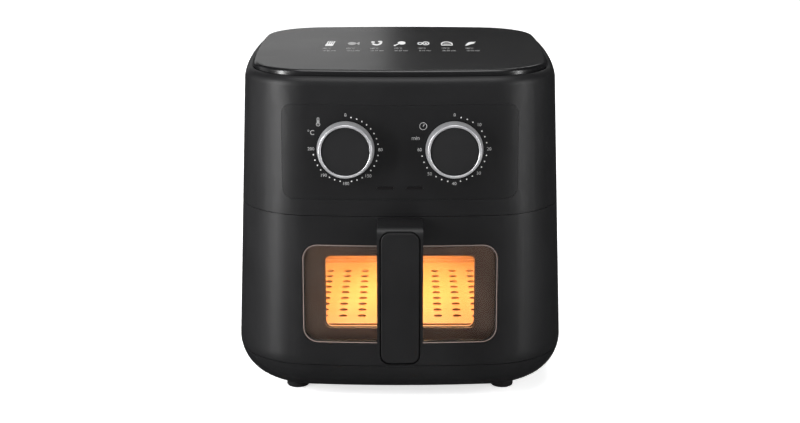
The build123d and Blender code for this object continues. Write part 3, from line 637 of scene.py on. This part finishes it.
# ------------------------------------------------------------------ what a user may change
class AirFryerSizes(bpy.types.PropertyGroup):
    """Sizes of the finished pieces and of the print."""
    casing_edge: FloatProperty(
        name="Casing edge", description="Rounding of the moulded casings' edges",
        default=0.5 * MM, min=0.0, unit="LENGTH")
    grip_edge: FloatProperty(
        name="Grip edge", description="Rounding of the handle's long edges",
        default=1.6 * MM, min=0.0, unit="LENGTH")
    dot_ring: FloatProperty(
        name="Dot ring", description="Radius of the ring of dots round each dial, in millimetres",
        default=28.9, min=26.0)
    dot_width: FloatProperty(
        name="Dot width", description="Diameter of each printed dot, in millimetres", default=1.2, min=0.2)
    figure_height: FloatProperty(
        name="Figure height", description="Height of the dials' figures, in millimetres",
        default=2.9, min=1.0)


class AirFryerColours(bpy.types.PropertyGroup):
    """Colours of the oven's light and of the floor."""
    oven_light: FloatVectorProperty(
        name="Oven light", description="Colour of the light inside the cooking chamber",
        subtype="COLOR", size=3, default=linear("#ffc995")[:3])
    floor: FloatVectorProperty(
        name="Floor", description="Colour of the studio floor",
        subtype="COLOR", size=3, default=linear("#f4f4f4")[:3])


def sizes():
    return bpy.context.scene.air_fryer_sizes


def colours():
    return bpy.context.scene.air_fryer_colours


# ------------------------------------------------------------------ facts about the pieces
# What is printed round each dial, in degrees clockwise from the top and in millimetres from its middle
DIALS = {
    "temperature": {"joint": "temperature_turn", "step": 10.0, "sign_at": (-24, 24.5),
                    "unit": "°C", "unit_height": 4.2, "unit_at": (-30.5, 14.5),
                    "figures": {0: "0", 90: "80", 140: "150", 180: "180", 220: "190", 270: "200"}},
    "timer": {"joint": "timer_turn", "step": 11.25, "sign_at": (-27.5, 21),
              "unit": "min", "unit_height": 3.6, "unit_at": (-34, 10.4),
              "figures": {45 * i: str(10 * i) for i in range(7)}},
}
DIAL_TRAVEL = 270        # degrees between the first and the last dot
FIGURE_RING = 30.6       # radius of the ring of figures, in millimetres

# The lid's row of pictures, in millimetres from the lid's middle
LABEL_PITCH = 22.5
LABEL_ROW = 18
HEAT_LINE = (-2, -29)    # each temperature from its picture, across and towards the front
TIME_LINE = (1, -43)     # each time from its picture
LABEL_HEIGHT = 2.1
LABEL_WIDEN = 1.05
LID_STRETCH = 2.9        # the lid's print is drawn long, to be read from in front at a low angle
SETTINGS = ((180, 20), (200, 12), (160, 15), (190, 25), (180, 10), (170, 30), (180, 15))
FAINT_PICTURE = 1        # the picture that is printed in grey like the figures

# The window glass's corner and the painted highlight just inside its edge, in millimetres
GLASS_CORNER = 13.7
HIGHLIGHT_INSET = 0.8
HIGHLIGHT_WIDTH = 0.6

# Screws by the way that their heads face, with a head's height, shank and recess by its radius
SCREWS = {"rear_screws": (0, 1, 0), "foot_screws": (0, 0, -1), "base_screws": (0, 0, -1),
          "pot_screws": (0, 1, 0)}
HEAD_HEIGHT = 0.52
SHANK_RADIUS = 0.48
RECESS_WIDTH = 0.26

# Lights: place and aim from the appliance's middle, size, all in metres, and watts
STUDIO_LIGHTS = {
    "left_strip": ((-1.20, -0.67, 0.10), (0, 0, 0), (0.13, 1.5), 44.0),
    "right_strip": ((1.20, -0.67, 0.10), (0, 0, 0), (0.13, 1.5), 20.0),
    "left_fill": ((-1.9, 0.5, 0.3), (0, 0, 0), (0.9, 1.2), 3.0),
    "left_wall": ((-0.80, 2.6, 0.56), (0, 0, 0.15), (1.6, 0.5), 1.7),
    "back_high": ((0, 1.9, 1.35), (0, 0, 0.15), (2.0, 0.5), 6.0),
    "back_low": ((0, 1.88, -0.02), (0, 0, 0), (0.5, 0.26), 2.0),
    "top_front": ((0, -0.36, 1.0), (0, -0.15, 0.08), (0.9, 0.3), 4.5),
}
OVEN_LIGHT_WATTS = 2.5
OVEN_LIGHT_SIZE = (0.15, 0.15)
MIDDLE_HEIGHT = 0.16
FLOOR_REACH = 9.0

# The camera stands in front, a little above the lid
CAMERA_DISTANCE = 1.5
CAMERA_HEIGHT = 0.545
CAMERA_TILT = math.radians(90 - 15)
CAMERA_LENS = 71.3
CAMERA_SENSOR = 36.0


def panel_place(dial):
    """Turn drawn millimetres about a dial into a point in front of the control panel."""
    centre = Vector(JOINTS[DIALS[dial]["joint"]]["pos_m"])
    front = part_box("control_panel")[0].y - 0.05
    return lambda x, y: Vector((centre.x + x * MM, front, centre.z + y * MM))


# ------------------------------------------------------------------ operators
class AIRFRYER_OT_finishes(bpy.types.Operator):
    """Give every fixed piece the finish of its slot"""
    bl_idname = "airfryer.finishes"
    bl_label = "Finishes"

    def execute(self, context):
        for name, piece in NODES.items():
            piece.data.materials.clear()
            piece.data.materials.append(finish_of(SLOT_OF[name]))
        return {"FINISHED"}


class AIRFRYER_OT_casings(bpy.types.Operator):
    """Casings, covers and feet with rounded edges"""
    bl_idname = "airfryer.casings"
    bl_label = "Casings"

    def execute(self, context):
        edge = sizes().casing_edge / MM
        for name, source, width in (
                ("casing_shell", "main_housing", edge), ("base_shell", "base_housing", edge),
                ("back_cover", "rear_cover", 1.4 * edge), ("vent_louvres", "exhaust_grille", 0.6 * edge),
                ("dial_panel", "control_panel", 0.8 * edge),
                ("lid", "top_panel", 0.8 * edge)):
            softened(name, source, width)
        for source in ("foot_front_left", "foot_front_right", "foot_rear_left", "foot_rear_right"):
            softened(source + "_moulded", source, edge)
        return {"FINISHED"}


class AIRFRYER_OT_drawer(bpy.types.Operator):
    """Drawer front, window, a painted highlight along the glass's edge, and handle"""
    bl_idname = "airfryer.drawer"
    bl_label = "Drawer"

    def execute(self, context):
        edge = sizes().casing_edge / MM
        softened("drawer_face", "drawer_front", edge)
        softened("window_bezel", "window_frame", edge)
        softened("grip_shell", "handle_body", sizes().grip_edge / MM)
        softened("grip_inlay", "handle_cover", edge)
        # a pale line just inside the glass's edge: a painted highlight, standing in for the light that the
        # glass's edge catches
        low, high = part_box("outer_glass")
        width, height = (high.x - low.x) / MM, (high.z - low.z) / MM
        middle_z = (low.z + high.z) / 2
        outline = rounded_rectangle(width - 2 * HIGHLIGHT_INSET, height - 2 * HIGHLIGHT_INSET,
                                    GLASS_CORNER - HIGHLIGHT_INSET)
        painted_glass_highlight = gather("glass_edge_painted_highlight", [stroke(outline, HIGHLIGHT_WIDTH, closed=True)],
                     ink_and_highlight_paint("glass_edge_highlight_paint", "#8d7c76", "#7b6b66"))
        drape(painted_glass_highlight.data, lambda x, y: Vector((x * MM, low.y - 0.05, middle_z + y * MM)),
              surface_of("outer_glass"), INK, AWAY)
        dress(painted_glass_highlight, "drawer")
        return {"FINISHED"}


class AIRFRYER_OT_dials(bpy.types.Operator):
    """The two dials: turned metal sleeves and satin faces"""
    bl_idname = "airfryer.dials"
    bl_label = "Dials"

    def execute(self, context):
        for dial in DIALS:
            softened(f"{dial}_sleeve", f"{dial}_knob_ring", 0.35)
            softened(f"{dial}_face", f"{dial}_knob", 0.5)
        return {"FINISHED"}


def thermometer_sign():
    """A thermometer, round the origin."""
    outline = arc(0, -2.4, 1.5, 125, 415) + [(0.8, 2.6)] + arc(0, 2.6, 0.8, 0, 180, steps=6) + [(-0.8, -1.2)]
    return [stroke(outline, 0.5, closed=True), stroke([(0, -2.4), (0, 1.2)], 0.7)]


def clock_sign():
    """A clock with one hand, round the origin."""
    return [stroke(arc(0, 0, 3.1, steps=28), 0.5, closed=True),
            stroke([(0.9, 1.6), (0, 0), (0, -0.4)], 0.6)]


class AIRFRYER_OT_dial_print(bpy.types.Operator):
    """Dots, figures and signs printed round the dials"""
    bl_idname = "airfryer.dial_print"
    bl_label = "Dial print"

    def execute(self, context):
        ink = ink_and_highlight_paint("white_pad_print", "#cacaca", "#b4b4b4")
        faint = ink_and_highlight_paint("grey_pad_print", "#949494", "#808080")
        search = surface_of("control_panel")
        tree = dot_tree()
        signs = {"temperature": thermometer_sign, "timer": clock_sign}
        for dial, facts in DIALS.items():
            place = panel_place(dial)
            stops = [i * facts["step"] for i in range(round(DIAL_TRAVEL / facts["step"]) + 1)]
            turns = [math.radians(stop) for stop in stops if stop not in facts["figures"]]
            ring = sizes().dot_ring
            spots = [(ring * math.sin(turn), ring * math.cos(turn), 0) for turn in turns]
            dots = grow(f"{dial}_dots", tree, spots,
                        {"Dot radius": sizes().dot_width / 2, "Ink": 2 * INK, "Material": ink})
            drape(dots.data, place, search, INK, AWAY)
            dress(dots, "housing")

            drawings = [letters(text, sizes().figure_height, FIGURE_RING * math.sin(math.radians(turn)),
                                FIGURE_RING * math.cos(math.radians(turn)))
                        for turn, text in facts["figures"].items()]
            sign = signs[dial]()
            for drawing in sign:
                drawing.transform(Matrix.Translation((*facts["sign_at"], 0)))
            drawings += sign + [letters(facts["unit"], facts["unit_height"], *facts["unit_at"])]
            figures = gather(f"{dial}_figures", drawings, faint)
            drape(figures.data, place, search, INK, AWAY)
            dress(figures, "housing")
        return {"FINISHED"}


def lid_pictures():
    """Seven plain pictures of food, drawn about 10 mm wide round the origin."""
    chips = [blot([(-4.2, -5), (3.2, -5), (4.0, -1), (-3.6, -1)])]
    chips += [stroke([(-2.6 + 1.9 * i, -0.6), (-2.0 + 2.1 * i, 4.6)], 1.3) for i in range(4)]
    fish = [blot(arc(-1.2, 0, 4.2, tall=0.7)), blot([(2.2, 0), (6.0, 3.0), (6.0, -3.0)])]
    prawn = [stroke(arc(0, 1.6, 4.0, 200, 380, tall=1.1), 2.4),
             blot(arc(-3.6, 3.0, 1.9, tall=0.8, steps=12)), blot(arc(3.2, 4.0, 2.2, tall=0.7, steps=12))]
    drumstick = [blot(arc(1.6, 1.2, 3.8, tall=0.9)), stroke([(-1.6, -1.2), (-4.4, -3.6)], 1.6),
                 blot(arc(-4.8, -4.0, 1.3, steps=10))]
    rings = [stroke(arc(2.4, 0.4, 2.9, tall=1.1), 1.2, closed=True), blot(arc(2.4, 0.4, 1.2, steps=10)),
             stroke(arc(-3.2, 0, 2.0, tall=1.1, steps=14), 1.1, closed=True)]
    cake = [stroke([(-5.2, -3.4)] + arc(0, -1.8, 5.2, 160, 20, tall=1.0) + [(5.2, -3.4)], 1.5, closed=True),
            stroke([(-3.0, -1.0), (3.0, -1.0)], 0.8)]
    pepper = [blot([(-5.2, -5.0), (-2.2, -3.8), (0.6, -1.4), (3.4, -0.2), (4.8, 1.6), (4.0, 3.2), (1.6, 3.4),
                    (-1.2, 2.2), (-3.4, -0.6)]), stroke([(3.8, 2.4), (5.8, 3.8)], 0.9)]
    return [chips, fish, prawn, drumstick, rings, cake, pepper]


class AIRFRYER_OT_lid_print(bpy.types.Operator):
    """A row of food pictures with a temperature and a time under each"""
    bl_idname = "airfryer.lid_print"
    bl_label = "Lid print"

    def execute(self, context):
        ink = ink_and_highlight_paint("white_lid_print", "#e8e8e8", "#d4d4d4")
        faint = ink_and_highlight_paint("grey_lid_print", "#a8a8a8", "#969696")
        search = surface_of("top_panel")
        row_y = BODY_MIDDLE_Y / MM + LABEL_ROW
        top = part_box("top_panel")[1].z + 0.05
        bright, dim = [], []
        for i, (drawings, (heat, minutes)) in enumerate(zip(lid_pictures(), SETTINGS)):
            x = (i - 3) * LABEL_PITCH
            for drawing in drawings:
                drawing.transform(Matrix.Translation((x, row_y, 0))
                                  @ Matrix.Diagonal((1.0, LID_STRETCH, 1, 1)))
                (dim if i == FAINT_PICTURE else bright).append(drawing)
            lines = ((f"{heat}°C", HEAT_LINE), (f"{minutes - 2}-{minutes} min", TIME_LINE))
            for text, (across, along) in lines:
                line = letters(text, LABEL_HEIGHT, 0, 0)
                line.transform(Matrix.Translation((x + across, row_y + along, 0))
                               @ Matrix.Diagonal((LABEL_WIDEN, LID_STRETCH, 1, 1)))
                dim.append(line)
        for name, drawings, material in (("lid_pictures", bright, ink), ("lid_figures", dim, faint)):
            piece = gather(name, drawings, material)
            drape(piece.data, lambda x, y: Vector((x * MM, y * MM, top)), search, INK, Vector((0, 0, -1)))
            dress(piece, "housing")
        return {"FINISHED"}


def screw_spots(source, way):
    """Where a node's screws end at their heads' faces, with a head's radius and a screw's length."""
    spots, head_radius, length = [], 0.0, 0.0
    for points in islands(source):
        centre = Vector([(min(p[i] for p in points) + max(p[i] for p in points)) / 2 for i in range(3)])
        reach = [way.dot(point) for point in points]
        face = [point for point in points if way.dot(point) > max(reach) - 0.05 * MM]
        head_radius = max((point - centre - way * way.dot(point - centre)).length for point in face)
        length = max(reach) - min(reach)
        spots.append(centre + way * (max(reach) - way.dot(centre)))
    return spots, head_radius, length


class AIRFRYER_OT_screws(bpy.types.Operator):
    """Cross-recess screws in the back, the feet, the base and the pot"""
    bl_idname = "airfryer.screws"
    bl_label = "Screws"

    def execute(self, context):
        tree = screw_tree()
        for source, axis in SCREWS.items():
            way = Vector(axis)
            spots, head_radius, length = screw_spots(source, way)
            head_height = HEAD_HEIGHT * head_radius
            piece = grow(source + "_turned", tree, [spot - way * head_height for spot in spots], {
                "Head radius": head_radius, "Head height": head_height,
                "Shank radius": SHANK_RADIUS * head_radius, "Length": length - head_height,
                "Recess width": RECESS_WIDTH * head_radius, "Axis": axis, "Material": finish_of("steel")})
            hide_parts(source)
            dress(piece, NODES[source]["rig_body"])
        return {"FINISHED"}


class AIRFRYER_OT_stage(bpy.types.Operator):
    """Floor, soft lights, the oven's own light and the camera"""
    bl_idname = "airfryer.stage"
    bl_label = "Stage"

    def execute(self, context):
        scene = bpy.context.scene
        scene.view_settings.view_transform = "Standard"
        floor = bpy.data.meshes.new("floor")
        corners = ((-1, -1), (1, -1), (1, 1), (-1, 1))
        floor.from_pydata([(x * FLOOR_REACH, y * FLOOR_REACH, 0) for x, y in corners], [], [(0, 1, 2, 3)])
        paint = bpy.data.materials.new("painted_studio_floor")
        paint.use_nodes = True
        shader = paint.node_tree.nodes["Principled BSDF"]
        shader.inputs["Base Color"].default_value = (*colours().floor, 1.0)
        shader.inputs["Roughness"].default_value = 0.9
        shader.inputs["Specular IOR Level"].default_value = 0.1
        # the floor is lit from below as well, as on a product table, so that shadows stay faint
        shader.inputs["Emission Color"].default_value = (*colours().floor, 1.0)
        shader.inputs["Emission Strength"].default_value = 0.72
        ground = new_piece("floor", floor, paint)
        # the floor is hidden from glossy rays, as if dark cards stood round the appliance, so the casings
        # don't mirror the white floor
        ground.visible_glossy = False

        world = bpy.data.worlds.new("studio")
        world.use_nodes = True
        # the room is light in front of the appliance and dark elsewhere, with a white backdrop
        sky = world.node_tree
        direction = node(sky, "ShaderNodeTexCoord")
        parts = node(sky, "ShaderNodeSeparateXYZ", {"Vector": direction.outputs["Generated"]})
        strength = ramp(sky, parts.outputs["Y"], 0.25, 0.03, -0.95, -0.15)
        seen = node(sky, "ShaderNodeLightPath").outputs["Is Camera Ray"]
        sky.links.new(math_node(sky, "MAXIMUM", strength, seen), sky.nodes["Background"].inputs["Strength"])
        sky.nodes["Background"].inputs["Color"].default_value = linear("#ffffff")
        scene.world = world

        sun = bpy.data.lights.new("ceiling", "SUN")
        sun.energy = 1.3
        sun.angle = math.radians(40)
        ceiling = bpy.data.objects.new("ceiling", sun)
        scene.collection.objects.link(ceiling)

        centre = Vector((0, BODY_MIDDLE_Y, MIDDLE_HEIGHT))
        for name, (place, target, size, watts) in STUDIO_LIGHTS.items():
            softbox(name, centre + Vector(place), centre + Vector(target), size, watts)
        lamp_y = middle("heater_guard").y
        oven = softbox("oven_light", (0, lamp_y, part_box("heater_guard")[0].z - 4 * MM), (0, lamp_y, 0),
                       OVEN_LIGHT_SIZE, OVEN_LIGHT_WATTS)
        oven.data.color = colours().oven_light

        camera_data = bpy.data.cameras.new("camera")
        camera_data.lens = CAMERA_LENS
        camera_data.sensor_width = CAMERA_SENSOR
        camera = bpy.data.objects.new("camera", camera_data)
        scene.collection.objects.link(camera)
        camera.location = (0, BODY_MIDDLE_Y - CAMERA_DISTANCE, CAMERA_HEIGHT)
        camera.rotation_euler = (CAMERA_TILT, 0, 0)
        scene.camera = camera
        return {"FINISHED"}


# ------------------------------------------------------------------ panel and registration
OPERATORS = (AIRFRYER_OT_finishes, AIRFRYER_OT_casings, AIRFRYER_OT_drawer, AIRFRYER_OT_dials,
             AIRFRYER_OT_dial_print, AIRFRYER_OT_lid_print, AIRFRYER_OT_screws, AIRFRYER_OT_stage)


class AIRFRYER_PT_make(bpy.types.Panel):
    """Lists what the script makes, in order"""
    bl_idname = "AIRFRYER_PT_make"
    bl_label = "Air fryer"
    bl_space_type = "VIEW_3D"
    bl_region_type = "UI"
    bl_category = "Air fryer"

    def draw(self, context):
        for group in (context.scene.air_fryer_sizes, context.scene.air_fryer_colours):
            box = self.layout.box()
            for name in group.__annotations__:
                box.prop(group, name)
        for operator in OPERATORS:
            self.layout.operator(operator.bl_idname)


CLASSES = (AirFryerSizes, AirFryerColours, *OPERATORS, AIRFRYER_PT_make)


def register():
    for cls in CLASSES:
        bpy.utils.register_class(cls)
    bpy.types.Scene.air_fryer_sizes = PointerProperty(type=AirFryerSizes)
    bpy.types.Scene.air_fryer_colours = PointerProperty(type=AirFryerColours)


def unregister():
    del bpy.types.Scene.air_fryer_colours
    del bpy.types.Scene.air_fryer_sizes
    for cls in reversed(CLASSES):
        bpy.utils.unregister_class(cls)


def main():
    register()
    for operator in OPERATORS:
        group, name = operator.bl_idname.split(".")
        getattr(getattr(bpy.ops, group), name)()


if __name__ == "__main__":
    main()
